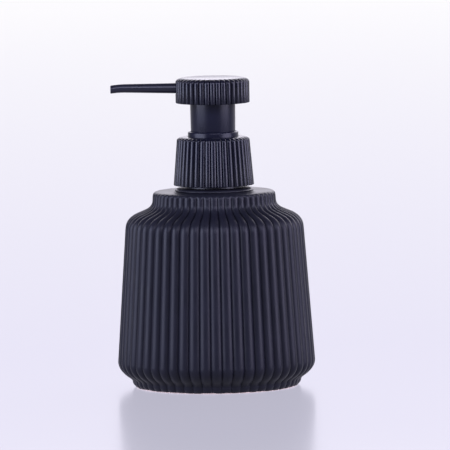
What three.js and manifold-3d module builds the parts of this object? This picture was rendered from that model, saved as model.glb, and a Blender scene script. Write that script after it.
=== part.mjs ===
// Soap pump dispenser: a ribbed stoneware bottle, a threaded plastic neck glued into its mouth, and
// a two-ball lotion pump under a ribbed screw closure and a ribbed head with a thin side spout.
// Millimetres, +Z up. The origin is on the bottle's axis, on the plane that it stands on, and the
// spout points along -X.
import * as THREE from "three";
import { mergeVertices } from "three/addons/utils/BufferGeometryUtils.js";
import Module from "manifold-3d";

const wasm = await Module();
wasm.setup();

// Driving dimensions: radii are measured from the bottle's axis, heights from the standing plane.
const ROUND = 28; // facets round a moulded piece
const SMALL = 20; // facets round a small one

const BELLY = { radius: 46, height: 12.3 };
const SHOULDER = { radius: 41.6, height: 74.5 };
const SHOULDER_TURN = { radius: 36.8, height: 81.6 }; // the rounded shoulder ends here
const COLLAR_FOOT = { radius: 33, height: 83.2 }; // and the sweep up to the collar starts here
const COLLAR = { radius: 28.8, height: 87 };
const FOOT = { radius: 37.5, ringRadius: 33.5, recess: 1.2, bandRadius: 39.5, bandHeight: 3.2 };
const BOTTLE_TOP = 91.25; // the rim; the top face rises a little from here to the neck
const BOTTLE_FACE = 91.6; // the top face where the neck's flange lies on it
const BOTTLE_RIBS = 54;
const BOTTLE_RIB_DEPTH = 1.1;
const BOTTLE_WALL = 4;
const BOTTLE_FLOOR = 6;
const MOUTH_RADIUS = 12.9;

const NECK = { bore: 10.4, root: 12.6, crest: 13.6, flange: 18.4, bottom: 83, top: 102.4 };
const THREAD_PITCH = 25.4 / 6; // six threads to the inch, a 28 mm bottle finish
const THREAD_START = 95.5;

const CLOSURE = { bottom: 94.1, top: 116.8, bottomRadius: 18.76, topRadius: 16.85, opening: 12 };
const CLOSURE_RIBS = 40;
const CLOSURE_RIB_DEPTH = 0.8;

const CYLINDER = {
  bore: 6.6,
  outer: 8,
  socketBottom: 50.5,
  floor: 66.4,
  cupFoot: 97, // the bore opens here into a wider cup for the guide ring's plug
  flange: 13.2,
  flangeBottom: 103.5,
  flangeTop: 104.8,
};
const SEAT_CONE_FOOT = 58.6; // the inlet seat is a 45 degree cone that starts here
const SEAT_HOLE = 1.6;
const INLET_BALL = 2.4;
const DIP_TUBE = { outer: 3, inner: 2.2, bottom: 8, top: 57.7 };

const RING = { outer: 11.77, inner: 10.75, floor: 105.9, top: 119.1 };
const STEM = { outer: 4, inner: 2.4, bottom: 94, top: 136 };
const OUTLET_CONE_FOOT = 128;
const OUTLET_HOLE = 1.3;
const OUTLET_BALL = 1.9;
const PISTON_BOTTOM = 84.3;
const SPRING = { radius: 5, wire: 0.4, turns: 5.5 };

const HEAD = { radius: 17.24, bottom: 132.5, top: 144.2, wall: 2.2, roof: 1.4 };
const SPOUT = { height: 139.4, root: 2.45, bore: 1.2, start: 6 };
const SPOUT_BEND = { reach: 40.8, radius: 2 }; // where the tip begins to turn down
const SPOUT_TIP = { reach: 47.8, radius: 1.9, drop: 0.55 };
const SPOUT_SLOPE = 0.012; // the straight part rises this much a millimetre
const BARREL = { bottom: 118.1, bottomRadius: 10.37, topRadius: 10.54, wall: 1.07 };

const FIT = 0.06; // a ball's clearance to its seat
const SQRT2 = Math.SQRT2;

const glazedBlack = new THREE.MeshStandardMaterial({ color: 0x21212b, roughness: 0.42 });
const blackPlastic = new THREE.MeshStandardMaterial({ color: 0x1f1f2a, roughness: 0.38 });
const darkInsert = new THREE.MeshStandardMaterial({ color: 0x26262e, roughness: 0.5 });
const naturalPlastic = new THREE.MeshStandardMaterial({ color: 0xdcdcd6, roughness: 0.45 });
const adhesive = new THREE.MeshStandardMaterial({ color: 0xb9b3a4, roughness: 0.6 });
const foam = new THREE.MeshStandardMaterial({ color: 0xeeeeee, roughness: 0.9 });
const steel = new THREE.MeshStandardMaterial({ color: 0xb8bcc0, roughness: 0.3, metalness: 1 });

// An outline in (radius, height), drawn anticlockwise, with its curves cut into a few steps.
function outline(draw, curveSteps = 3) {
  const path = new THREE.Path();
  draw(path);
  return path.getPoints(curveSteps);
}

// The solid that an outline sweeps round the Z axis.
function turned(points, segments = ROUND) {
  return new THREE.LatheGeometry(points, segments).rotateX(Math.PI / 2);
}

// A turned solid whose every second edge is pulled in by depthAt(radius, height), which makes ribs.
function ribbed(points, ribs, depthAt) {
  const geometry = new THREE.LatheGeometry(points, 2 * ribs);
  const position = geometry.getAttribute("position");
  for (let i = 0; i < position.count; i += 1) {
    const point = points[i % points.length];
    const isGroove = Math.floor(i / points.length) % 2 === 1;
    const pull = isGroove && point.x > 0 ? 1 - depthAt(point.x, point.y) / point.x : 1;
    position.setX(i, position.getX(i) * pull);
    position.setZ(i, position.getZ(i) * pull);
  }
  return geometry.rotateX(Math.PI / 2);
}

// A screw ridge: a straight bar of the given (radius, height) section, wound round the axis. The
// ridge is right-handed, and it fades out over the first and last eighth of a turn.
function threadRidge(section, footRadius, turns, startHeight) {
  const stepsPerTurn = 20;
  const bar = new THREE.ExtrudeGeometry(new THREE.Shape(section), {
    depth: turns,
    steps: Math.round(stepsPerTurn * turns),
    bevelEnabled: false,
  });
  const position = bar.getAttribute("position");
  for (let i = 0; i < position.count; i += 1) {
    const turn = turns - position.getZ(i);
    const fade = Math.min(1, 8 * turn + 0.15, 8 * (turns - turn) + 0.15);
    const radius = footRadius + (position.getX(i) - footRadius) * fade;
    const angle = 2 * Math.PI * turn;
    const height = startHeight + THREAD_PITCH * turn + position.getY(i);
    position.setXYZ(i, radius * Math.cos(angle), radius * Math.sin(angle), height);
  }
  return bar;
}

function solid(geometry) {
  const bare = geometry.clone();
  bare.deleteAttribute("normal");
  bare.deleteAttribute("uv");
  const merged = mergeVertices(bare, 1e-4);
  return new wasm.Manifold(
    new wasm.Mesh({
      numProp: 3,
      vertProperties: merged.getAttribute("position").array,
      triVerts: new Uint32Array(merged.getIndex().array),
    }),
  );
}

function geometryOf(body) {
  const mesh = body.getMesh();
  const geometry = new THREE.BufferGeometry();
  geometry.setAttribute("position", new THREE.BufferAttribute(mesh.vertProperties, 3));
  geometry.setIndex(new THREE.BufferAttribute(mesh.triVerts, 1));
  geometry.computeVertexNormals();
  return geometry;
}

function rod(radius, length) {
  return new THREE.CylinderGeometry(radius, radius, length, SMALL);
}

// A rod along X from one place to another, at the spout's height.
function rodAlongX(radius, from, to) {
  return rod(radius, Math.abs(to - from))
    .rotateZ(Math.PI / 2)
    .translate((from + to) / 2, 0, SPOUT.height);
}

// The bottle's ribs are shallower on the foot band and the collar, and die out at the rim.
function bottleRibDepth(radius, height) {
  if (height > BOTTLE_TOP - 1) return 0.15 * (radius > COLLAR.radius - 2);
  if (height > COLLAR.height - 3) return 0.6;
  return height < FOOT.bandHeight + 0.5 ? 0.5 * (radius > FOOT.ringRadius) : BOTTLE_RIB_DEPTH;
}

function ceramicBottle() {
  const outside = outline((path) => {
    path.moveTo(0, FOOT.recess);
    path.lineTo(FOOT.ringRadius - 1, FOOT.recess);
    path.lineTo(FOOT.ringRadius, 0);
    path.lineTo(FOOT.radius, 0);
    path.lineTo(FOOT.bandRadius - 0.4, 1.6);
    path.lineTo(FOOT.bandRadius, FOOT.bandHeight);
    path.lineTo(FOOT.bandRadius + 1.4, FOOT.bandHeight + 1.5);
    path.quadraticCurveTo(BELLY.radius, BELLY.height - 4.4, BELLY.radius, BELLY.height);
    path.lineTo(SHOULDER.radius, SHOULDER.height);
    path.quadraticCurveTo(SHOULDER.radius - 0.35, 79.4, SHOULDER_TURN.radius, SHOULDER_TURN.height);
    path.lineTo(COLLAR_FOOT.radius, COLLAR_FOOT.height);
    path.quadraticCurveTo(COLLAR.radius + 0.2, 84.8, COLLAR.radius, COLLAR.height);
    path.lineTo(COLLAR.radius - 0.2, BOTTLE_TOP - 1.9);
    path.lineTo(COLLAR.radius - 0.8, BOTTLE_TOP - 0.6);
    path.lineTo(COLLAR.radius - 2.2, BOTTLE_TOP);
    path.lineTo(NECK.flange, BOTTLE_FACE);
    path.lineTo(0, BOTTLE_FACE);
  });
  const wallTop = BOTTLE_TOP - BOTTLE_WALL;
  const bellyInside = BELLY.radius - BOTTLE_RIB_DEPTH - BOTTLE_WALL;
  const shoulderInside = SHOULDER.radius - BOTTLE_RIB_DEPTH - BOTTLE_WALL;
  const collarInside = COLLAR.radius - BOTTLE_WALL - 0.8;
  const inside = outline((path) => {
    path.moveTo(0, BOTTLE_FLOOR);
    path.lineTo(FOOT.ringRadius, BOTTLE_FLOOR);
    path.quadraticCurveTo(bellyInside, BOTTLE_FLOOR + 1, bellyInside, BELLY.height + 2);
    path.lineTo(shoulderInside, 72);
    path.quadraticCurveTo(shoulderInside - 0.3, 76, 30.5, 78.6);
    path.quadraticCurveTo(collarInside + 0.4, 81, collarInside, wallTop - 2);
    path.lineTo(collarInside - 2, wallTop);
    path.lineTo(MOUTH_RADIUS, wallTop);
    path.lineTo(MOUTH_RADIUS, BOTTLE_FACE + 1);
    path.lineTo(0, BOTTLE_FACE + 1);
  });
  const blank = solid(ribbed(outside, BOTTLE_RIBS, bottleRibDepth));
  return geometryOf(blank.subtract(solid(turned(inside, 36))));
}

// The glued-in neck: a spigot in the bottle's mouth, a flange on its top face, and a screw finish.
function neckInsert() {
  const flangeBottom = BOTTLE_FACE + 0.15;
  const flangeTop = BOTTLE_FACE + 1.1;
  const spigot = MOUTH_RADIUS - 0.9;
  const ring = outline((path) => {
    path.moveTo(NECK.bore, NECK.bottom);
    path.lineTo(NECK.bore + 1, NECK.bottom);
    path.lineTo(spigot, NECK.bottom + 1);
    path.lineTo(spigot, flangeBottom);
    path.lineTo(NECK.flange, flangeBottom);
    path.lineTo(NECK.flange - 0.35, flangeTop - 0.4);
    path.lineTo(NECK.flange - 1.2, flangeTop);
    path.lineTo(NECK.root, flangeTop);
    path.lineTo(NECK.root, NECK.top);
    path.lineTo(NECK.bore, NECK.top);
    path.closePath();
  });
  const foot = NECK.root - 0.2;
  const section = [
    new THREE.Vector2(foot, -0.95),
    new THREE.Vector2(NECK.crest, -0.45),
    new THREE.Vector2(NECK.crest, 0.45),
    new THREE.Vector2(foot, 0.95),
  ];
  const ridge = threadRidge(section, foot, 1.25, THREAD_START);
  return geometryOf(solid(turned(ring)).add(solid(ridge)));
}

// The bead of epoxy between the spigot and the bottle's mouth.
function neckAdhesive() {
  const bottom = BOTTLE_TOP - BOTTLE_WALL + 0.3;
  const top = BOTTLE_FACE - 0.3;
  const bead = outline((path) => {
    path.moveTo(MOUTH_RADIUS - 0.65, bottom);
    path.lineTo(MOUTH_RADIUS - 0.2, bottom);
    path.lineTo(MOUTH_RADIUS - 0.2, top);
    path.lineTo(MOUTH_RADIUS - 0.65, top);
    path.closePath();
  });
  return turned(bead);
}

function gasket() {
  const washer = outline((path) => {
    path.moveTo(NECK.bore, NECK.top + 0.1);
    path.lineTo(NECK.root - 0.1, NECK.top + 0.1);
    path.lineTo(NECK.root - 0.1, CYLINDER.flangeBottom - 0.1);
    path.lineTo(NECK.bore, CYLINDER.flangeBottom - 0.1);
    path.closePath();
  });
  return turned(washer);
}

// The pump's cylinder: a socket for the dip tube, the inlet seat, the bore and the flange that the
// closure clamps on the gasket.
function pumpHousing() {
  const socket = DIP_TUBE.outer + 0.2;
  const chamber = SEAT_HOLE + 1.4;
  const coneTop = SEAT_CONE_FOOT + 1.4;
  const pocketFloor = CYLINDER.floor - 1.8;
  const pocket = 4.4;
  const cup = 8.6;
  const body = outline((path) => {
    path.moveTo(socket, CYLINDER.socketBottom);
    path.lineTo(socket + 1.1, CYLINDER.socketBottom);
    path.lineTo(socket + 1.1, SEAT_CONE_FOOT);
    path.lineTo(pocket + 1.4, SEAT_CONE_FOOT + 1.6);
    path.lineTo(pocket + 1.4, pocketFloor - 0.6);
    path.lineTo(CYLINDER.outer, CYLINDER.floor + 0.6);
    path.lineTo(CYLINDER.outer, CYLINDER.cupFoot - 0.5);
    path.lineTo(cup + 1.4, CYLINDER.cupFoot + 1);
    path.lineTo(cup + 1.4, CYLINDER.flangeBottom);
    path.lineTo(CYLINDER.flange, CYLINDER.flangeBottom);
    path.lineTo(CYLINDER.flange, CYLINDER.flangeTop);
    path.lineTo(cup, CYLINDER.flangeTop);
    path.lineTo(cup, CYLINDER.cupFoot + 1.5);
    path.lineTo(CYLINDER.bore, CYLINDER.cupFoot);
    path.lineTo(CYLINDER.bore, CYLINDER.floor);
    path.lineTo(pocket, CYLINDER.floor);
    path.lineTo(pocket, pocketFloor);
    path.lineTo(chamber, pocketFloor);
    path.lineTo(chamber, coneTop);
    path.lineTo(SEAT_HOLE, SEAT_CONE_FOOT);
    path.lineTo(SEAT_HOLE, SEAT_CONE_FOOT - 0.6);
    path.lineTo(socket, SEAT_CONE_FOOT - 0.6);
    path.closePath();
  });
  return turned(body);
}

// The cage over the inlet ball: four slots let the soap past, and its collar centres the spring.
function ballCage() {
  const bottom = CYLINDER.floor - 1.65;
  const collarTop = CYLINDER.floor + 2.1;
  const ring = outline((path) => {
    path.moveTo(1.7, bottom);
    path.lineTo(4.2, bottom);
    path.lineTo(4.2, collarTop);
    path.lineTo(3.3, collarTop);
    path.lineTo(3.3, bottom + 1.3);
    path.lineTo(1.7, bottom + 1.3);
    path.closePath();
  });
  const slot = new THREE.BoxGeometry(5.6, 0.9, 3).translate(0, 0, bottom + 0.6);
  const acrossSlot = slot.clone().rotateZ(Math.PI / 2);
  const cage = solid(turned(ring, SMALL)).subtract(solid(slot)).subtract(solid(acrossSlot));
  return geometryOf(cage);
}

// A ball on its 45 degree seat, whose cone starts at coneFoot with the hole's radius.
function ball(radius, hole, coneFoot) {
  const centre = coneFoot - hole + radius * SQRT2 + FIT;
  return new THREE.SphereGeometry(radius, 12, 8).rotateX(Math.PI / 2).translate(0, 0, centre);
}

// The dip tube, cut at a slant so that it can't seal itself against the floor.
function dipTube() {
  const tube = outline((path) => {
    path.moveTo(DIP_TUBE.inner, DIP_TUBE.bottom);
    path.lineTo(DIP_TUBE.outer, DIP_TUBE.bottom);
    path.lineTo(DIP_TUBE.outer, DIP_TUBE.top);
    path.lineTo(DIP_TUBE.inner, DIP_TUBE.top);
    path.closePath();
  });
  const knife = new THREE.BoxGeometry(12, 12, 10)
    .translate(0, 0, -5)
    .rotateY(Math.PI / 5)
    .translate(0, 0, DIP_TUBE.bottom + 2.2);
  return geometryOf(solid(turned(tube, SMALL)).subtract(solid(knife)));
}

class Helix extends THREE.Curve {
  getPoint(t, target = new THREE.Vector3()) {
    const angle = 2 * Math.PI * SPRING.turns * t;
    const bottom = CYLINDER.floor + 0.1 + SPRING.wire;
    const top = PISTON_BOTTOM - 0.1 - SPRING.wire;
    const height = THREE.MathUtils.lerp(bottom, top, t);
    return target.set(SPRING.radius * Math.cos(angle), SPRING.radius * Math.sin(angle), height);
  }
}

function returnSpring() {
  const wire = new THREE.Shape().absarc(0, 0, SPRING.wire, 0, 2 * Math.PI);
  return new THREE.ExtrudeGeometry(wire, {
    steps: Math.round(10 * SPRING.turns),
    curveSegments: 3,
    extrudePath: new Helix(),
  });
}

// The piston's carrier: the spring pushes its flange, and its spigot is pressed into the stem.
function pistonBody() {
  const flangeTop = PISTON_BOTTOM + 1.5;
  const hubTop = STEM.bottom - 0.3;
  const spigotTop = STEM.bottom + 6;
  const body = outline((path) => {
    path.moveTo(1.4, PISTON_BOTTOM);
    path.lineTo(5.9, PISTON_BOTTOM);
    path.lineTo(5.9, flangeTop);
    path.lineTo(3.3, flangeTop);
    path.lineTo(3.3, hubTop);
    path.lineTo(STEM.inner - 0.2, hubTop);
    path.lineTo(STEM.inner - 0.2, spigotTop);
    path.lineTo(1.4, spigotTop);
    path.closePath();
  });
  return turned(body, SMALL);
}

// The soft piston, with one wiping lip up and one down.
function pistonSeal() {
  const bottom = PISTON_BOTTOM + 1.7;
  const top = STEM.bottom - 0.5;
  const seal = outline((path) => {
    path.moveTo(3.5, bottom + 0.8);
    path.lineTo(5.6, bottom + 0.8);
    path.lineTo(6.1, bottom);
    path.lineTo(6.45, bottom + 0.1);
    path.lineTo(5.9, bottom + 2.2);
    path.lineTo(5.9, top - 2);
    path.lineTo(6.45, top - 0.1);
    path.lineTo(6.1, top);
    path.lineTo(5, top - 2);
    path.lineTo(3.5, top - 2);
    path.closePath();
  });
  return turned(seal, SMALL);
}

// The stem, with the outlet seat near its top.
function stem() {
  const coneTop = OUTLET_CONE_FOOT + STEM.inner - OUTLET_HOLE;
  const tube = outline((path) => {
    path.moveTo(STEM.inner, STEM.bottom);
    path.lineTo(STEM.outer, STEM.bottom);
    path.lineTo(STEM.outer, STEM.top);
    path.lineTo(STEM.inner, STEM.top);
    path.lineTo(STEM.inner, coneTop);
    path.lineTo(OUTLET_HOLE, OUTLET_CONE_FOOT);
    path.lineTo(OUTLET_HOLE, OUTLET_CONE_FOOT - 1);
    path.lineTo(STEM.inner, OUTLET_CONE_FOOT - 2);
    path.closePath();
  });
  return turned(tube, SMALL);
}

// The fixed ring: it plugs the cylinder, guides the stem, and its wall takes the barrel when the
// head goes down.
function guideRing() {
  const floorBottom = RING.floor - 1;
  const plugBottom = CYLINDER.cupFoot + 2;
  const stemHole = STEM.outer + 0.25;
  const ring = outline((path) => {
    path.moveTo(stemHole, plugBottom);
    path.lineTo(5.4, plugBottom);
    path.lineTo(5.4, floorBottom);
    path.lineTo(7.3, floorBottom);
    path.lineTo(7.3, plugBottom);
    path.lineTo(8.3, plugBottom);
    path.lineTo(8.3, floorBottom);
    path.lineTo(CYLINDER.flange, floorBottom);
    path.lineTo(CYLINDER.flange, RING.floor);
    path.lineTo(RING.outer, RING.floor);
    path.lineTo(RING.outer, RING.top - 0.8);
    path.lineTo(RING.outer - 0.35, RING.top);
    path.lineTo(RING.inner, RING.top);
    path.lineTo(RING.inner, RING.floor);
    path.lineTo(stemHole, RING.floor);
    path.closePath();
  });
  return turned(ring);
}

function closureShell() {
  const { bottom, top, bottomRadius, topRadius, opening } = CLOSURE;
  const edge = 1.6;
  const bore = 15.5; // wide enough for the liner
  const upperBore = 13.5;
  const step = RING.floor + 2.7;
  const shell = outline((path) => {
    path.moveTo(bore, bottom);
    path.lineTo(bottomRadius, bottom);
    path.lineTo(topRadius, top - edge);
    path.quadraticCurveTo(topRadius - 0.1, top, topRadius - edge, top);
    path.lineTo(opening, top);
    path.lineTo(opening, top - edge);
    path.lineTo(upperBore, top - edge);
    path.lineTo(upperBore, step);
    path.lineTo(bore, step);
    path.closePath();
  });
  const ribZone = topRadius - 1.3;
  return ribbed(shell, CLOSURE_RIBS, (radius) => (radius > ribZone ? CLOSURE_RIB_DEPTH : 0));
}

// The closure's inner cap: its ledge clamps the pump's flange, and its thread runs on the neck.
function closureLiner() {
  const inside = NECK.crest + 0.25;
  const outside = 15.2;
  const ledge = RING.outer + 0.35;
  const ledgeBottom = RING.floor + 0.2;
  const cap = outline((path) => {
    path.moveTo(inside, CLOSURE.bottom + 0.3);
    path.lineTo(outside, CLOSURE.bottom + 0.3);
    path.lineTo(outside, ledgeBottom + 2);
    path.lineTo(ledge, ledgeBottom + 2);
    path.lineTo(ledge, ledgeBottom);
    path.lineTo(inside, ledgeBottom);
    path.closePath();
  });
  const foot = inside + 0.2;
  const crest = NECK.root + 0.35;
  const section = [
    new THREE.Vector2(crest, -0.4),
    new THREE.Vector2(foot, -0.85),
    new THREE.Vector2(foot, 0.85),
    new THREE.Vector2(crest, 0.4),
  ];
  const ridge = threadRidge(section, foot, 1, THREAD_START + THREAD_PITCH / 2);
  return geometryOf(solid(turned(cap)).add(solid(ridge)));
}

// The actuator: barrel, top plate, stem socket, and the channel that turns towards the spout.
function actuator() {
  const plateBottom = HEAD.bottom + 0.7;
  const plateTop = plateBottom + 1.6;
  const socket = STEM.outer + 0.15;
  const hub = 5.7;
  const hubTop = HEAD.top - HEAD.roof - 0.3;
  const barrelInside = BARREL.bottomRadius - BARREL.wall;
  const plateRadius = HEAD.radius - HEAD.wall - 0.4;
  const pinBottom = STEM.top - 2.7; // the pin keeps the outlet ball in the stem
  const pinRadius = STEM.inner - 0.3;
  const body = outline((path) => {
    path.moveTo(0, pinBottom);
    path.lineTo(pinRadius, pinBottom);
    path.lineTo(pinRadius, STEM.top + 0.3);
    path.lineTo(socket, STEM.top + 0.3);
    path.lineTo(socket, BARREL.bottom + 0.3);
    path.lineTo(hub, BARREL.bottom + 0.3);
    path.lineTo(hub, plateBottom);
    path.lineTo(barrelInside, plateBottom);
    path.lineTo(barrelInside, BARREL.bottom);
    path.lineTo(BARREL.bottomRadius, BARREL.bottom);
    path.lineTo(BARREL.topRadius, plateBottom);
    path.lineTo(plateRadius, plateBottom);
    path.lineTo(plateRadius, plateTop);
    path.lineTo(hub, plateTop);
    path.lineTo(hub, hubTop);
    path.lineTo(0, hubTop);
  });
  const riser = rod(OUTLET_HOLE, SPOUT.height - pinBottom + 1)
    .rotateX(Math.PI / 2)
    .translate(0, 0, (SPOUT.height + pinBottom - 1) / 2);
  const boss = rodAlongX(3.1, -4.5, -12.5);
  const channel = rodAlongX(1.4, 1, -SPOUT.start);
  const nozzleSocket = rodAlongX(SPOUT.root + 0.1, -SPOUT.start + 0.3, -13);
  const made = solid(turned(body))
    .add(solid(boss))
    .subtract(solid(riser))
    .subtract(solid(channel))
    .subtract(solid(nozzleSocket));
  return geometryOf(made);
}

// How far the spout's centre line lies above its root: a slight rise, then a turned-down tip.
function spoutRise(distance) {
  const straight = Math.min(distance, SPOUT_BEND.reach) - HEAD.radius;
  const past = (distance - SPOUT_BEND.reach) / (SPOUT_TIP.reach - SPOUT_BEND.reach);
  return SPOUT_SLOPE * Math.max(0, straight) - SPOUT_TIP.drop * Math.max(0, past) ** 2;
}

function spout() {
  const insideRadius = SPOUT.root - 0.1;
  const bendSteps = 4;
  const { lerp } = THREE.MathUtils;
  const reachAt = (i) => lerp(SPOUT_BEND.reach, SPOUT_TIP.reach, i / bendSteps);
  const radiusAt = (i) => lerp(SPOUT_BEND.radius, SPOUT_TIP.radius, i / bendSteps);
  const tube = outline((path) => {
    path.moveTo(SPOUT.bore, SPOUT.start);
    path.lineTo(insideRadius, SPOUT.start);
    path.lineTo(insideRadius, HEAD.radius - 3);
    path.lineTo(SPOUT.root, HEAD.radius - 2.5);
    for (let i = 0; i <= bendSteps; i += 1) path.lineTo(radiusAt(i), reachAt(i));
    for (let i = bendSteps; i >= 0; i -= 1) path.lineTo(SPOUT.bore, reachAt(i));
    path.closePath();
  });
  const geometry = turned(tube, 14).rotateY(-Math.PI / 2);
  const position = geometry.getAttribute("position");
  for (let i = 0; i < position.count; i += 1) {
    position.setZ(i, position.getZ(i) + SPOUT.height + spoutRise(-position.getX(i)));
  }
  return geometry;
}

// The ribbed cap over the actuator, with a hole for the spout.
function headShell() {
  const inside = HEAD.radius - HEAD.wall;
  const edge = 1.7;
  const shell = outline((path) => {
    path.moveTo(inside, HEAD.bottom);
    path.lineTo(HEAD.radius, HEAD.bottom);
    path.lineTo(HEAD.radius, HEAD.top - edge);
    path.quadraticCurveTo(HEAD.radius, HEAD.top, HEAD.radius - edge, HEAD.top);
    path.lineTo(0, HEAD.top);
    path.lineTo(0, HEAD.top - HEAD.roof);
    path.lineTo(inside, HEAD.top - HEAD.roof);
    path.closePath();
  });
  const ribZone = HEAD.radius - 1.2;
  const cap = ribbed(shell, CLOSURE_RIBS, (radius) => (radius > ribZone ? CLOSURE_RIB_DEPTH : 0));
  const hole = rodAlongX(SPOUT.root + 0.2, -HEAD.radius + 5, -HEAD.radius - 2);
  return geometryOf(solid(cap).subtract(solid(hole)));
}

const dispenser = new THREE.Group();

function add(name, geometry, material) {
  const mesh = new THREE.Mesh(geometry, material);
  mesh.name = name;
  dispenser.add(mesh);
}

add("ceramic_bottle", ceramicBottle(), glazedBlack);
add("neck_insert", neckInsert(), darkInsert);
add("neck_adhesive", neckAdhesive(), adhesive);
add("gasket", gasket(), foam);
add("pump_housing", pumpHousing(), naturalPlastic);
add("ball_cage", ballCage(), naturalPlastic);
add("inlet_ball", ball(INLET_BALL, SEAT_HOLE, SEAT_CONE_FOOT), steel);
add("dip_tube", dipTube(), naturalPlastic);
add("return_spring", returnSpring(), steel);
add("piston_body", pistonBody(), naturalPlastic);
add("piston_seal", pistonSeal(), naturalPlastic);
add("stem", stem(), naturalPlastic);
add("outlet_ball", ball(OUTLET_BALL, OUTLET_HOLE, OUTLET_CONE_FOOT), steel);
add("guide_ring", guideRing(), blackPlastic);
add("closure_shell", closureShell(), blackPlastic);
add("closure_liner", closureLiner(), darkInsert);
add("actuator", actuator(), blackPlastic);
add("spout", spout(), blackPlastic);
add("head_shell", headShell(), blackPlastic);

export default dispenser;
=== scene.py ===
import math
import bpy
from mathutils import Matrix, Vector


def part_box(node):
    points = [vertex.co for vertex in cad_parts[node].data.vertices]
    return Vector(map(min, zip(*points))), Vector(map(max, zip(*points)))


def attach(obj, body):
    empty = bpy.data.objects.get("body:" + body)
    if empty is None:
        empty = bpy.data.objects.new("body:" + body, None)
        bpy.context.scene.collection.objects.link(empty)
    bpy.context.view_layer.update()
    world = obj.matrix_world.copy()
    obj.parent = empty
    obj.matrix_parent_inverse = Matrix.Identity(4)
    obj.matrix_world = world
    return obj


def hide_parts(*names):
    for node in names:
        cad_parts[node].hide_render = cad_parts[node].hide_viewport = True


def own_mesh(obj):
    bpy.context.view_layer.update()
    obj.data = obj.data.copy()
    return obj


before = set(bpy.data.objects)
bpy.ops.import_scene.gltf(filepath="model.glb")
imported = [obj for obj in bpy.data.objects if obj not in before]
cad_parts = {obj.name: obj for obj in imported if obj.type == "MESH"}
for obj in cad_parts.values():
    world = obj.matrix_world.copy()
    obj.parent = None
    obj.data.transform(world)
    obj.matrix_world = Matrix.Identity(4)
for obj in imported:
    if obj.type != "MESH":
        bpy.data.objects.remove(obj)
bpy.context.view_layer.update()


# The camera looks at the dispenser from the front and from a little above its head, through a
# long lens that keeps the bottle's sides from leaning in. It is tilted sideways by about a degree.
aim = Vector((0.00487, 0.0, 0.07514))
distance = 3.6
view_width = 0.2097
elevation = math.radians(5.0)
lean = math.radians(-0.9)
camera_data = bpy.data.cameras.new("catalogue_camera")
camera_data.sensor_width = 36.0
camera_data.lens = camera_data.sensor_width * distance / view_width
camera_data.clip_start = 0.1
camera_data.clip_end = 60.0
camera = bpy.data.objects.new("catalogue_camera", camera_data)
bpy.context.collection.objects.link(camera)
back = Vector((0.0, -math.cos(elevation), math.sin(elevation)))
camera.matrix_world = (
    Matrix.Translation(aim + back * distance)
    @ Matrix.Rotation(math.pi / 2 - elevation, 4, "X")
    @ Matrix.Rotation(lean, 4, "Z")
)
bpy.context.scene.camera = camera


# The bottle is slip-cast stoneware under a satin black glaze. Its 54 ribs run from the foot band
# over the shoulder to the collar, and the glaze stops just above the foot ring, where the clay
# is wiped bare so that the bottle doesn't stick to the kiln shelf.
MM = 0.001


def linear(hex_colour):
    """An sRGB hex colour as a linear one with alpha."""
    channels = [int(hex_colour[i : i + 2], 16) / 255 for i in (0, 2, 4)]
    return [c / 12.92 if c < 0.04045 else ((c + 0.055) / 1.055) ** 2.4 for c in channels] + [1.0]


def node(tree, kind, inputs=None, **settings):
    """Adds a shader node, sets its settings, and sets or links its inputs."""
    made = tree.nodes.new("ShaderNode" + kind)
    for name, value in settings.items():
        setattr(made, name, value)
    for name, value in (inputs or {}).items():
        if isinstance(value, bpy.types.NodeSocket):
            tree.links.new(value, made.inputs[name])
        else:
            made.inputs[name].default_value = value
    return made


def finish_named(name):
    """A new material with an empty node tree, and its tree."""
    material = bpy.data.materials.new(name)
    material.use_nodes = True
    material.node_tree.nodes.clear()
    return material, material.node_tree


def curve(start, control, end, steps):
    """Points along a quadratic curve in (radius, height), ends included."""
    points = []
    for i in range(steps + 1):
        t = i / steps
        a, b, c = (1 - t) ** 2, 2 * t * (1 - t), t * t
        points.append((a * start[0] + b * control[0] + c * end[0],
                       a * start[1] + b * control[1] + c * end[1]))
    return points


def eased(corners, steps=3, closed=False):
    """An outline whose corners (radius, height, easing) are cut back by the easing and rounded."""
    points = []
    for i, corner in enumerate(corners):
        here = Vector(corner[:2])
        if len(corner) == 2:
            points.append(tuple(here))
            continue
        before = here + (Vector(corners[i - 1][:2]) - here).normalized() * corner[2]
        after = Vector(corners[(i + 1) % len(corners)][:2])
        after = here + (after - here).normalized() * corner[2]
        points.extend(curve(before, here, after, steps))
    return points + points[:1] if closed else points


def drawn(name, outline):
    """A new mesh left in edit mode: the outline in millimetres, extruded point by point."""
    bpy.ops.object.select_all(action="DESELECT")
    bpy.ops.mesh.primitive_plane_add(size=MM)
    piece = bpy.context.object
    piece.name = piece.data.name = name
    bpy.ops.object.mode_set(mode="EDIT")
    bpy.ops.mesh.merge(type="CENTER")
    radius, height = outline[0]
    bpy.ops.transform.translate(value=(radius * MM, 0, height * MM))
    for next_radius, next_height in outline[1:]:
        step = ((next_radius - radius) * MM, 0, (next_height - height) * MM)
        bpy.ops.mesh.extrude_vertices_move(TRANSFORM_OT_translate={"value": step})
        radius, height = next_radius, next_height
    bpy.ops.mesh.select_all(action="SELECT")
    return piece


def turned(name, outline, steps):
    """The solid that an outline sweeps when it is spun round the Z axis."""
    piece = drawn(name, outline)
    bpy.ops.mesh.spin(steps=steps, angle=2 * math.pi, center=(0, 0, 0), axis=(0, 0, 1))
    bpy.ops.mesh.select_all(action="SELECT")
    bpy.ops.mesh.remove_doubles(threshold=0.002 * MM)
    bpy.ops.mesh.normals_make_consistent(inside=False)
    bpy.ops.object.mode_set(mode="OBJECT")
    return piece


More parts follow.
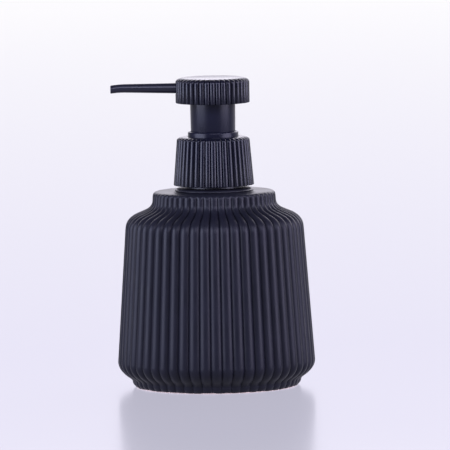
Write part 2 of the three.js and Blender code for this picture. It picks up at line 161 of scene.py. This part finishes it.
def weigh_grooves(piece, count, roundness, share):
    """Weights each outward point by how deep it lies between two ribs, in a group named grooves."""
    group = piece.vertex_groups.new(name="grooves")
    flat = 1 - math.sqrt(1 - roundness**2)
    for vertex in piece.data.vertices:
        x, y, z = vertex.co
        radius = math.hypot(x, y)
        outward = vertex.normal.x * x + vertex.normal.y * y
        if outward < 0.1 * radius:
            continue
        turn = math.atan2(x, -y) * count / (2 * math.pi)
        across = 2 * abs(turn - round(turn))
        weight = (1 - math.sqrt(1 - (roundness * across) ** 2)) / flat
        group.add([vertex.index], weight * share(radius / MM, z / MM), "REPLACE")


def soften(piece, degrees):
    """Smooth shading, except across edges sharper than the angle."""
    bpy.ops.object.select_all(action="DESELECT")
    piece.select_set(True)
    bpy.context.view_layer.objects.active = piece
    bpy.ops.object.shade_smooth_by_angle(angle=math.radians(degrees))


def between(value, low, high):
    """0 at low, 1 at high, eased at both ends."""
    t = min(1.0, max(0.0, (value - low) / (high - low)))
    return t * t * (3 - 2 * t)


rib_count = 54
bottle_top = 91.25
outside = eased([(0, 1.2), (32.4, 1.2, 0.8), (33.3, 0, 0.4), (37.5, 0, 0.45),
                 (39.15, 1.75, 0.7), (39.45, 3.5, 0.7), (40.9, 4.75)])[:-1]
outside += curve((40.9, 4.75), (46, 7.9), (46, 12.3), 12)
outside += [(45.4, 20.7), (44.5, 33.4), (43.5, 47.6), (42.6, 60.3)]
outside += curve((41.6, 74.2), (41.25, 79), (36.2, 81.1), 10)
outside += curve((32.6, 82.6), (29, 84.2), (28.8, 86.8), 7)
outside += curve((28.65, 89.2), (28.5, 91.2), (26.4, bottle_top), 6)
outside += eased([(18.4, 91.6), (12.9, 91.6, 0.5), (12.9, 87.25)])
inside = eased([(22, 87.25), (24, 87.25, 2), (24.5, 81.5, 3), (30.5, 78.6)], 4)
inside += curve((30.5, 78.6), (36.2, 76), (36.5, 72), 4)[1:]
inside += curve((40.9, 14.3), (40.9, 7), (33.5, 6), 6) + [(0, 6)]
bottle = turned("stoneware_bottle", outside + inside, 12 * rib_count)


def bottle_share(radius, height):
    """The depth of the grooves there: full on the body, less on the foot band and the collar."""
    collar = 1 - 0.4 * between(height, 82.5, 86)
    rim = 1 - between(height, 89.6, bottle_top)
    band = 0.55 + 0.45 * between(height, 4.4, 8.5)
    foot = 0.45 + 0.55 * between(height, -0.2, 1.6)
    return collar * rim * band * foot


weigh_grooves(bottle, rib_count, 0.8, bottle_share)
press = bottle.modifiers.new("grooves", "DISPLACE")
press.direction = "NORMAL"
press.mid_level = 0.0
press.strength = -1.3 * MM
press.vertex_group = "grooves"
bpy.ops.object.modifier_apply(modifier=press.name)
bottle.vertex_groups.clear()
soften(bottle, 50)

# Satin black glaze over pale stoneware. The glaze pools unevenly, which varies its black and its
# sheen a little, and it ends in a wavy line just above the foot, where the clay shows bare.
glaze, tree = finish_named("satin_black_stoneware_glaze")
place = node(tree, "TexCoord").outputs["Object"]
apart = node(tree, "SeparateXYZ", {0: place})
pooling = node(tree, "TexNoise", {"Vector": place, "Scale": 1 / (11.1 * MM), "Detail": 3.0})
specks = node(tree, "TexNoise", {"Vector": place, "Scale": 1 / (1.11 * MM), "Detail": 2.0})
black = node(tree, "Mix", {0: pooling.outputs["Fac"], 6: linear("111219"),
                           7: linear("171721")}, data_type="RGBA")
edge_wave = node(tree, "TexNoise", {"Vector": place, "Scale": 1 / (6.25 * MM), "Detail": 2.0})
edge_height = node(tree, "MapRange", {"Value": edge_wave.outputs["Fac"], "From Min": 0.3,
                                      "From Max": 0.7, "To Min": 0.2 * MM, "To Max": 0.55 * MM})
bare = node(tree, "Math", {0: apart.outputs["Z"], 1: edge_height.outputs[0]},
            operation="LESS_THAN")
clay = node(tree, "Mix", {0: specks.outputs["Fac"], 6: linear("e2cabf"),
                          7: linear("f2e0d8")}, data_type="RGBA")
colour = node(tree, "Mix", {0: bare.outputs[0], 6: black.outputs[2],
                            7: clay.outputs[2]}, data_type="RGBA")
sheen = node(tree, "MapRange", {"Value": pooling.outputs["Fac"], "From Min": 0.3,
                                "From Max": 0.7, "To Min": 0.36, "To Max": 0.44})
rough = node(tree, "Mix", {0: bare.outputs[0], 2: sheen.outputs[0], 3: 0.9})
grain = node(tree, "Bump", {"Height": specks.outputs["Fac"], "Strength": 0.12,
                            "Distance": 0.05 * MM})
shader = node(tree, "BsdfPrincipled", {"Base Color": colour.outputs[2],
                                       "Roughness": rough.outputs[0],
                                       "IOR": 1.5, "Specular IOR Level": 0.16,
                                       "Normal": grain.outputs[0]})
node(tree, "OutputMaterial", {"Surface": shader.outputs[0]})
bottle.data.materials.append(glaze)
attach(bottle, "bottle")
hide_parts("ceramic_bottle")


# The neck is a polypropylene moulding glued into the bottle's mouth. Its flange lies on the glaze
# under the closure as a thin dark disc, put where the dark is mostly the closure's shade and its
# reflection in the glaze, and its screw finish is six threads to the inch.
PITCH = 25.4 / 6


def moulded(name, shades, roughness, grain, translucent=0.0, shine=0.4):
    """A moulded plastic: 7 mm streaks in its colour and gloss, and the mould's 0.6 mm grain."""
    material, tree = finish_named(name)
    place = node(tree, "TexCoord").outputs["Object"]
    flow = node(tree, "TexNoise", {"Vector": place, "Scale": 1 / (7.1 * MM), "Detail": 2.0})
    spark = node(tree, "TexNoise", {"Vector": place, "Scale": 1 / (0.625 * MM), "Detail": 1.0})
    colour = node(tree, "Mix", {0: flow.outputs["Fac"], 6: linear(shades[0]),
                                7: linear(shades[1])}, data_type="RGBA")
    gloss = node(tree, "MapRange", {"Value": flow.outputs["Fac"], "From Min": 0.3,
                                    "From Max": 0.7, "To Min": roughness - 0.03,
                                    "To Max": roughness + 0.03})
    bump = node(tree, "Bump", {"Height": spark.outputs["Fac"], "Strength": grain,
                               "Distance": 0.02 * MM})
    shader = node(tree, "BsdfPrincipled", {
        "Base Color": colour.outputs[2], "Roughness": gloss.outputs[0], "IOR": 1.49,
        "Specular IOR Level": shine, "Normal": bump.outputs[0],
        "Subsurface Weight": translucent, "Subsurface Scale": 2 * MM})
    node(tree, "OutputMaterial", {"Surface": shader.outputs[0]})
    return material


def thread_ridge(section, turns, start):
    """A right-hand screw ridge of a closed (radius, height) section that fades out at its ends."""
    ridge = drawn("ridge", [(radius, height + start) for radius, height in section + section[:1]])
    bpy.ops.mesh.remove_doubles(threshold=0.002 * MM)
    bpy.ops.object.mode_set(mode="OBJECT")
    wind = ridge.modifiers.new("wind", "SCREW")
    wind.angle = 2 * math.pi * turns
    wind.screw_offset = PITCH * turns * MM
    wind.steps = wind.render_steps = round(96 * turns)
    bpy.ops.object.modifier_apply(modifier=wind.name)
    foot = section[0][0]
    for vertex in ridge.data.vertices:
        x, y, z = vertex.co
        angle = math.atan2(y, x) / (2 * math.pi)
        turn = angle + round((z / MM - start) / PITCH - angle)
        fade = min(1.0, 8 * turn + 0.1, 8 * (turns - turn) + 0.1)
        radius = math.hypot(x, y)
        scale = (foot * MM + (radius - foot * MM) * fade) / radius
        vertex.co.x, vertex.co.y = x * scale, y * scale
    bpy.ops.object.mode_set(mode="EDIT")
    bpy.ops.mesh.select_all(action="SELECT")
    bpy.ops.mesh.fill_holes(sides=0)
    bpy.ops.mesh.select_all(action="SELECT")
    bpy.ops.mesh.normals_make_consistent(inside=False)
    bpy.ops.object.mode_set(mode="OBJECT")
    return ridge


def combine(piece, other, operation):
    """Joins another solid to the piece, or cuts it away, and removes the other."""
    bpy.context.view_layer.objects.active = piece
    step = piece.modifiers.new("combine", "BOOLEAN")
    step.operation = operation
    step.solver = "EXACT"
    step.object = other
    bpy.ops.object.modifier_apply(modifier=step.name)
    bpy.data.meshes.remove(other.data)


def placed(piece, body, replaced, material, degrees=40):
    """Shades a finished piece and tells the frame what it rides on and stands for."""
    soften(piece, degrees)
    piece.data.materials.clear()
    piece.data.materials.append(material)
    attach(piece, body)
    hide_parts(replaced)


neck = turned("neck_insert_moulding", eased([
    (10.4, 83, 0.2), (11.2, 83, 0.3), (12, 84.2, 0.3), (12, 91.75), (18.38, 91.75, 0.12),
    (18.05, 92.25, 0.2), (17.2, 92.7, 0.4), (12.6, 92.7, 0.35), (12.6, 102.4, 0.35),
    (10.4, 102.4, 0.3)], closed=True), 144)
thread_start = 95.5
ridge = thread_ridge([(12.4, -0.95), (12.6, -0.95), (13.5, -0.5), (13.6, -0.3), (13.6, 0.3),
                      (13.5, 0.5), (12.6, 0.95), (12.4, 0.95)], 1.25, thread_start)
combine(neck, ridge, "UNION")
dark_polypropylene = moulded("moulded_black_polypropylene", ("14141b", "191922"), 0.42, 0.25)
placed(neck, "bottle", "neck_insert", dark_polypropylene)


# A bead of epoxy holds the neck in the bottle's mouth. The neck's flange covers it, so the plain
# ring is kept as it is, with the cloudy amber look of cured resin.
cured_epoxy = moulded("cured_epoxy", ("8f866e", "a09880"), 0.35, 0.1, translucent=0.2)
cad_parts["neck_adhesive"].data.materials[0] = cured_epoxy


# The gasket is a washer stamped from white polyethylene foam. It seals the pump's flange on the
# neck and stays there when the pump is lifted off.
gasket = turned("foam_gasket", eased([(10.45, 102.5, 0.15), (12.5, 102.5, 0.15),
                                      (12.5, 103.4, 0.15), (10.45, 103.4, 0.15)],
                                     closed=True), 96)
polyethylene_foam = moulded("closed_cell_polyethylene_foam", ("c4c4c2", "d0d0ce"), 0.8, 0.9)
placed(gasket, "gasket", "gasket", polyethylene_foam)


# The pump's cylinder is moulded in natural polypropylene, which is milky and lets some light
# through. From the top: the flange, the cup, the bore, the inlet seat, and the dip tube's socket.
natural_polypropylene = moulded("natural_polypropylene", ("a4a7a5", "b3b5b2"), 0.32, 0.15,
                                translucent=0.35)
housing = turned("pump_cylinder", eased([
    (3.2, 50.5, 0.2), (4.3, 50.5, 0.3), (4.3, 58.6, 0.5), (5.8, 60.2, 0.5), (5.8, 64, 0.5),
    (8, 67, 0.6), (8, 96.5, 0.6), (10, 98, 0.6), (10, 103.5, 0.2), (13.2, 103.5, 0.15),
    (13.2, 104.8, 0.15), (8.6, 104.8, 0.2), (8.6, 98.5, 0.3), (6.6, 97, 0.3), (6.6, 66.4, 0.2),
    (4.4, 66.4, 0.2), (4.4, 64.6), (3, 64.6), (3, 60), (1.6, 58.6), (1.6, 58), (3.2, 58)],
    closed=True), 96)
placed(housing, "pump_body", "pump_housing", natural_polypropylene)

# The cage over the inlet ball has four slots for the soap, and a collar that centres the spring.
cage = turned("inlet_cage", eased([
    (1.7, 64.75, 0.1), (4.2, 64.75, 0.15), (4.2, 68.5, 0.25), (3.3, 68.5, 0.2), (3.3, 66.05),
    (1.7, 66.05, 0.1)], closed=True), 96)
slot_length, slot_width, slot_height, slot_middle = 5.6, 0.9, 3, 65.3
for quarter in (0, math.pi / 2):
    bpy.ops.object.select_all(action="DESELECT")
    bpy.ops.mesh.primitive_cube_add(
        size=MM, location=(0, 0, slot_middle * MM), rotation=(0, 0, quarter),
        scale=(slot_length, slot_width, slot_height))
    combine(cage, bpy.context.object, "DIFFERENCE")
placed(cage, "pump_body", "ball_cage", natural_polypropylene)


# The two check balls are ground from stainless steel and polished bright, which leaves a faint haze
# in patches. Each rests on a 45 degree seat: the inlet ball in the cylinder's foot and the smaller
# outlet ball in the top of the stem.
polished_steel, tree = finish_named("polished_stainless_steel")
place = node(tree, "TexCoord").outputs["Object"]
haze = node(tree, "TexNoise", {"Vector": place, "Scale": 1 / (1.43 * MM), "Detail": 3.0})
gloss = node(tree, "MapRange", {"Value": haze.outputs["Fac"], "To Min": 0.12, "To Max": 0.3})
shader = node(tree, "BsdfPrincipled", {"Base Color": linear("c4c6c8"), "Metallic": 1.0,
                                       "Roughness": gloss.outputs[0]})
node(tree, "OutputMaterial", {"Surface": shader.outputs[0]})

for name, radius in (("inlet_ball", 2.4), ("outlet_ball", 1.9)):
    low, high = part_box(name)
    middle = (low[2] + high[2]) / 2 / MM
    angles = [math.pi * i / 24 for i in range(25)]
    half_circle = [(radius * math.sin(a), middle - radius * math.cos(a)) for a in angles]
    ball = turned("steel_" + name, half_circle, 48)
    placed(ball, name, name, polished_steel)


# The dip tube is extruded polyethylene, pushed into the cylinder's socket and cut at a slant at
# its foot, so that it can't seal itself against the bottle's floor.
tube = turned("dip_tube_extrusion", [(2.2, 6), (3, 6), (3, 57.7), (2.2, 57.7), (2.2, 6)], 64)
bpy.ops.object.mode_set(mode="EDIT")
bpy.ops.mesh.select_all(action="SELECT")
slant = math.radians(36)
cut_middle = 10.2
bpy.ops.mesh.bisect(plane_co=(0, 0, cut_middle * MM),
                    plane_no=(math.sin(slant), 0, math.cos(slant)),
                    clear_inner=True, use_fill=True)
bpy.ops.object.mode_set(mode="OBJECT")
tube_polyethylene = moulded("extruded_polyethylene", ("a8aba9", "b8bab7"), 0.3, 0.05,
                            translucent=0.45)
placed(tube, "pump_body", "dip_tube", tube_polyethylene)


# The return spring is wound from 0.8 mm stainless wire, with its end coils closed up. It sits
# round the cage's collar and pushes on the piston's flange.
wire_radius, coil_radius = 0.4, 5
spring_low, spring_high = 66.9, 83.8
spring_turns = 5.5
closed_rise = 0.85
bpy.ops.object.select_all(action="DESELECT")
bpy.ops.mesh.primitive_circle_add(vertices=12, radius=wire_radius * MM,
                                  rotation=(math.pi / 2, 0, 0),
                                  location=(coil_radius * MM, 0, spring_low * MM))
spring = bpy.context.object
spring.name = spring.data.name = "steel_return_spring"
bpy.ops.object.transform_apply(location=True, rotation=True, scale=True)
rise = (spring_high - spring_low) / spring_turns
wind = spring.modifiers.new("wind", "SCREW")
wind.angle = 2 * math.pi * spring_turns
wind.screw_offset = (spring_high - spring_low) * MM
wind.steps = wind.render_steps = round(48 * spring_turns)
bpy.ops.object.modifier_apply(modifier=wind.name)
for vertex in spring.data.vertices:
    x, y, z = vertex.co
    angle = math.atan2(y, x) / (2 * math.pi)
    turn = angle + round((z / MM - spring_low) / rise - angle)
    from_end = min(turn, spring_turns - turn)
    closing = (rise - closed_rise) * (max(0.0, 1 - from_end) ** 2 - 1) / 2
    vertex.co.z += closing * MM * (1 if turn < spring_turns / 2 else -1)
bpy.ops.object.mode_set(mode="EDIT")
bpy.ops.mesh.select_all(action="SELECT")
bpy.ops.mesh.fill_holes(sides=0)
bpy.ops.mesh.select_all(action="SELECT")
bpy.ops.mesh.normals_make_consistent(inside=False)
bpy.ops.object.mode_set(mode="OBJECT")
placed(spring, "pump_body", "return_spring", polished_steel)
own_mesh(spring)


# The piston's carrier, the soft two-lipped piston and the stem are all natural polypropylene. The
# carrier's spigot is pressed into the stem, and the outlet seat is near the stem's top.
carrier = turned("piston_carrier", eased([
    (1.4, 84.3, 0.15), (5.9, 84.3, 0.2), (5.9, 85.8, 0.2), (3.3, 85.8, 0.2), (3.3, 93.7, 0.1),
    (2.2, 93.7), (2.2, 100, 0.15), (1.4, 100, 0.1)], closed=True), 96)
placed(carrier, "head", "piston_body", natural_polypropylene)
piston = turned("two_lip_piston", eased([
    (3.5, 86.8, 0.1), (5.6, 86.8, 0.3), (6.1, 86, 0.1), (6.45, 86.1, 0.1), (5.9, 88.2, 0.4),
    (5.9, 91.5, 0.4), (6.45, 93.4, 0.1), (6.1, 93.5, 0.1), (5, 91.5, 0.3), (3.5, 91.5, 0.1)],
    closed=True), 96)
placed(piston, "piston", "piston_seal", natural_polypropylene)
stem = turned("pump_stem", eased([
    (2.4, 94, 0.1), (4, 94, 0.2), (4, 136, 0.3), (2.4, 136, 0.2), (2.4, 129.1), (1.3, 128),
    (1.3, 127), (2.4, 126)], closed=True), 96)
placed(stem, "head", "stem", natural_polypropylene)


# The guide ring plugs the cylinder and stands out of the closure, where its wall takes the barrel
# when the head goes down. It is black ABS from a mould with a satin finish, as the barrel is.
black_abs = moulded("satin_moulded_black_abs", ("0c0d18", "101120"), 0.3, 0.04, shine=0.18)
guide_ring = turned("guide_ring_moulding", eased([
    (4.25, 99, 0.15), (5.4, 99, 0.2), (5.4, 104.9), (7.3, 104.9), (7.3, 99, 0.2), (8.3, 99, 0.2),
    (8.3, 104.9), (13.2, 104.9, 0.15), (13.2, 105.9, 0.15), (11.77, 105.9), (11.77, 119.1, 0.75),
    (10.75, 119.1, 0.15), (10.75, 105.9, 0.2), (4.25, 105.9, 0.15)], closed=True), 192)
placed(guide_ring, "pump_body", "guide_ring", black_abs)


# The closure is a black ABS shell with 40 ribs, over a liner that carries the thread and the ledge
# that clamps the pump's flange down on the gasket. The shell's mould is polished more than the
# ring's, so that each rib draws a narrow light line.
pump_rib_count = 40


def cut_grooves(piece, widest, smooth_to, full_from):
    """Cuts the grooves between the ribs, 1 mm deep where it is widest, up to the smooth top."""
    weigh_grooves(piece, pump_rib_count, 0.94,
                  lambda radius, height: between(radius, smooth_to, full_from))
    pull = piece.modifiers.new("grooves", "CAST")
    pull.cast_type = "CYLINDER"
    pull.use_z = False
    pull.use_radius_as_size = False
    pull.size = 0.1 * MM
    pull.factor = 1.0 / widest
    pull.vertex_group = "grooves"
    bpy.ops.object.modifier_apply(modifier=pull.name)
    piece.vertex_groups.clear()


shell = turned("closure_shell_moulding", eased([
    (15.5, 94.1, 0.2), (18.74, 94.1, 0.3), (17.8, 105.4),
    *curve((16.98, 115.1), (16.8, 116.7), (12.5, 116.8), 9), (12, 116.8, 0.35),
    (12, 115.2, 0.2), (13.5, 115.2), (13.5, 108.6), (15.5, 108.6)], closed=True),
    16 * pump_rib_count)
cut_grooves(shell, 18.76, 12.4, 14.4)
ribbed_abs = moulded("semi_gloss_moulded_black_abs", ("0a0b15", "0e0f1c"), 0.21, 0.03, shine=0.25)
placed(shell, "closure", "closure_shell", ribbed_abs, 50)

liner = turned("closure_liner_moulding", eased([
    (13.85, 94.4, 0.2), (15.2, 94.4, 0.2), (15.2, 108.1, 0.2), (12.12, 108.1, 0.2),
    (12.12, 106.1, 0.2), (13.85, 106.1, 0.2)], closed=True), 144)
ridge = thread_ridge([(14.05, -0.85), (13.8, -0.85), (13, -0.45), (12.95, -0.25), (12.95, 0.25),
                      (13, 0.45), (13.8, 0.85), (14.05, 0.85)], 1.0, thread_start + PITCH / 2)
combine(liner, ridge, "UNION")
placed(liner, "closure", "closure_liner", dark_polypropylene)


# The actuator is one moulding: the smooth barrel that slides in the guide ring, the top plate,
# the socket pressed on the stem, and the boss that takes the spout.
spout_height = 139.4


def round_bar(radius, start, end, along_x):
    """A round bar to add or cut away: along the axis, or along X at the spout's height."""
    bpy.ops.object.select_all(action="DESELECT")
    middle = (start + end) / 2 * MM
    place = (middle, 0, spout_height * MM) if along_x else (0, 0, middle)
    turn = (0, math.pi / 2, 0) if along_x else (0, 0, 0)
    bpy.ops.mesh.primitive_cylinder_add(vertices=64, radius=radius * MM,
                                        depth=abs(end - start) * MM, location=place, rotation=turn)
    return bpy.context.object


barrel = turned("actuator_moulding", eased([
    (0, 133.3), (2.1, 133.3, 0.2), (2.1, 136.3), (4.15, 136.3), (4.15, 118.4, 0.2),
    (5.7, 118.4, 0.3), (5.7, 133.2, 0.5), (9.3, 133.2, 0.5), (9.3, 118.1, 0.15),
    (10.37, 118.1, 0.2), (10.54, 132.9), (10.54, 133.2), (14.64, 133.2, 0.2), (14.64, 134.8, 0.2),
    (5.7, 134.8, 0.4), (5.7, 142.5, 0.3), (0, 142.5)]), 192)
# The boss, the soap's way up and then out to the left, and the spout's socket.
combine(barrel, round_bar(3.1, -4.5, -12.5, True), "UNION")
combine(barrel, round_bar(1.3, 132.3, spout_height, False), "DIFFERENCE")
combine(barrel, round_bar(1.4, 1, -6, True), "DIFFERENCE")
combine(barrel, round_bar(2.55, -5.7, -13, True), "DIFFERENCE")
placed(barrel, "head", "actuator", black_abs)


# The spout is a separate ABS tube, pushed into the actuator's boss. It thins towards its tip,
# which is turned a little down so that the last drop falls clear. It shines more than the barrel.
spout_root, spout_bend, spout_tip = 17.24, 40.8, 47.5
spout_slope = 0.012
tip_drop, drop_length = 0.55, 7
spout_bore = 1.2


def spout_rise(reach):
    """How far the centre line lies over its height at the root, at that reach."""
    bend = max(0.0, (reach - spout_bend) / drop_length)
    return spout_slope * max(0.0, min(reach, spout_bend) - spout_root) - tip_drop * bend**2


def along(start, end, steps):
    """Evenly spaced points on a straight line, without its start."""
    return [(start[0] + (end[0] - start[0]) * i / steps, start[1] + (end[1] - start[1]) * i / steps)
            for i in range(1, steps + 1)]


tube_outline = eased([(spout_bore, 6), (2.35, 6, 0.15), (2.35, 14.24), (2.45, 14.74)])
tube_outline += along((2.45, 14.74), (2, spout_bend), 6)
tube_outline += along((2, spout_bend), (1.92, spout_tip), 6)[:-1]
tube_outline += eased([(1.93, 46.4), (1.92, spout_tip, 0.4), (spout_bore, spout_tip, 0.15),
                       (spout_bore, 46.4)])[1:]
tube_outline += along((spout_bore, spout_tip), (spout_bore, spout_bend), 6) + [(spout_bore, 6)]
spout = turned("spout_tube", tube_outline, 64)
for vertex in spout.data.vertices:
    across, side, reach = vertex.co
    vertex.co = (-reach, side, (spout_height + spout_rise(reach / MM)) * MM + across)
bpy.ops.object.mode_set(mode="EDIT")
bpy.ops.mesh.select_all(action="SELECT")
bpy.ops.mesh.normals_make_consistent(inside=False)
bpy.ops.object.mode_set(mode="OBJECT")
nozzle_abs = moulded("polished_moulded_black_abs", ("0c0d18", "101120"), 0.3, 0.03, shine=0.42)
placed(spout, "head", "spout", nozzle_abs)


# The head is a ribbed cap pressed over the actuator's plate. Its 40 ribs cut into the rounded
# edge of its smooth top.
cap = turned("head_cap_moulding", eased([
    (0, 144.2), *curve((13.4, 144.2), (17.2, 144), (17.24, 141.8), 9), (17.24, 138),
    (17.24, 132.5, 0.25), (15.04, 132.5, 0.15), (15.04, 142.8, 0.5), (0, 142.8)]),
    16 * pump_rib_count)
cut_grooves(cap, 17.24, 13.4, 15)
combine(cap, round_bar(2.65, -12.2, -19, True), "DIFFERENCE")
placed(cap, "head", "head_shell", ribbed_abs, 50)


# The floor is a wide sheet of pale acrylic. Its light is painted in as a glow: dimmer and bluish
# near the dispenser and whiter further off, as if a light fell on it from behind. A softbox on each
# side and one in front light the dispenser. Behind it the room is bright in a low band, which
# shows in the rims and the head's top, and elsewhere the room is dim.
bpy.ops.object.select_all(action="DESELECT")
bpy.ops.mesh.primitive_plane_add(size=60.0, location=(0, 0, 0))
floor = bpy.context.object
floor.name = floor.data.name = "acrylic_floor"
acrylic, tree = finish_named("pale_acrylic_sheet")
place = node(tree, "TexCoord").outputs["Object"]
away = node(tree, "VectorMath", {0: place}, operation="LENGTH")
# Painted light: the glow fades from bluish grey near the dispenser to white 3 m away.
fade = node(tree, "MapRange", {"Value": away.outputs["Value"], "From Min": 0.2, "From Max": 3.0})
light = node(tree, "Mix", {0: fade.outputs[0], 6: linear("c8c6d8"), 7: linear("eaeae8")},
             data_type="RGBA")
shader = node(tree, "BsdfPrincipled", {"Base Color": linear("525256"),
                                       "Roughness": 1.0, "Specular IOR Level": 0.0,
                                       "Coat Weight": 0.4, "Coat Roughness": 0.2,
                                       "Emission Color": light.outputs[2],
                                       "Emission Strength": 1.0})
node(tree, "OutputMaterial", {"Surface": shader.outputs[0]})
floor.data.materials.append(acrylic)


# The softboxes are flagged off the floor, so that they leave no bright patches on it.
flagged_off = bpy.data.collections.new("flagged_off")
flagged_off.objects.link(floor)
flagged_off.collection_objects[0].light_linking.link_state = "EXCLUDE"


def softbox(name, centre, size, colour, watts):
    """A rectangular light that faces the dispenser and that the camera doesn't see."""
    data = bpy.data.lights.new(name, "AREA")
    data.shape = "RECTANGLE"
    data.size, data.size_y = size
    data.color = linear(colour)[:3]
    data.energy = watts
    light = bpy.data.objects.new(name, data)
    bpy.context.collection.objects.link(light)
    facing = (Vector((0, 0, centre[2])) - Vector(centre)).to_track_quat("-Z", "Y")
    light.matrix_world = Matrix.Translation(centre) @ facing.to_matrix().to_4x4()
    light.visible_camera = False
    light.light_linking.receiver_collection = flagged_off


softbox("left_softbox", (-0.90, -0.44, 0.40), (0.95, 0.8), "d8dcff", 22.0)
softbox("right_softbox", (0.91, -0.41, 0.40), (0.8, 0.8), "dedaff", 18.0)
softbox("front_softbox", (0.26, -1.22, 0.95), (1.1, 0.7), "dcdcff", 18.0)

# The room: plain white to the camera, and to everything else a bright band and a dim ceiling.
world = bpy.data.worlds.new("studio")
bpy.context.scene.world = world
world.use_nodes = True
tree = world.node_tree
tree.nodes.clear()
direction = node(tree, "TexCoord").outputs["Generated"]
apart = node(tree, "SeparateXYZ", {0: direction})
rightwards = node(tree, "Math", {0: apart.outputs["X"], 1: 0.3, 2: apart.outputs["Y"]},
                  operation="MULTIPLY_ADD")
behind = node(tree, "MapRange", {"Value": rightwards.outputs[0], "From Min": 0.5,
                                 "From Max": 0.98, "To Min": 0.0, "To Max": 2.8})
rising = node(tree, "MapRange", {"Value": apart.outputs["Z"], "From Min": 0.05,
                                 "From Max": 0.25, "To Min": 0.2, "To Max": 1.4})
falling = node(tree, "MapRange", {"Value": apart.outputs["Z"], "From Min": 0.35,
                                  "From Max": 0.7, "To Min": 1.0, "To Max": 0.0})
band = node(tree, "Math", {0: rising.outputs[0], 1: falling.outputs[0]}, operation="MULTIPLY")
glow = node(tree, "Math", {0: behind.outputs[0], 1: band.outputs[0]}, operation="MULTIPLY")
ceiling = node(tree, "MapRange", {"Value": apart.outputs["Z"], "From Min": 0.3,
                                  "From Max": 0.9, "To Min": 0.05, "To Max": 0.25})
level = node(tree, "Math", {0: glow.outputs[0], 1: ceiling.outputs[0]}, operation="ADD")
seen = node(tree, "LightPath").outputs["Is Camera Ray"]
shown = node(tree, "Math", {0: level.outputs[0], 1: seen}, operation="MAXIMUM")
studio = node(tree, "Background", {"Color": linear("f6f2ff"), "Strength": shown.outputs[0]})
node(tree, "OutputWorld", {"Surface": studio.outputs[0]})

bpy.context.scene.view_settings.view_transform = "Standard"
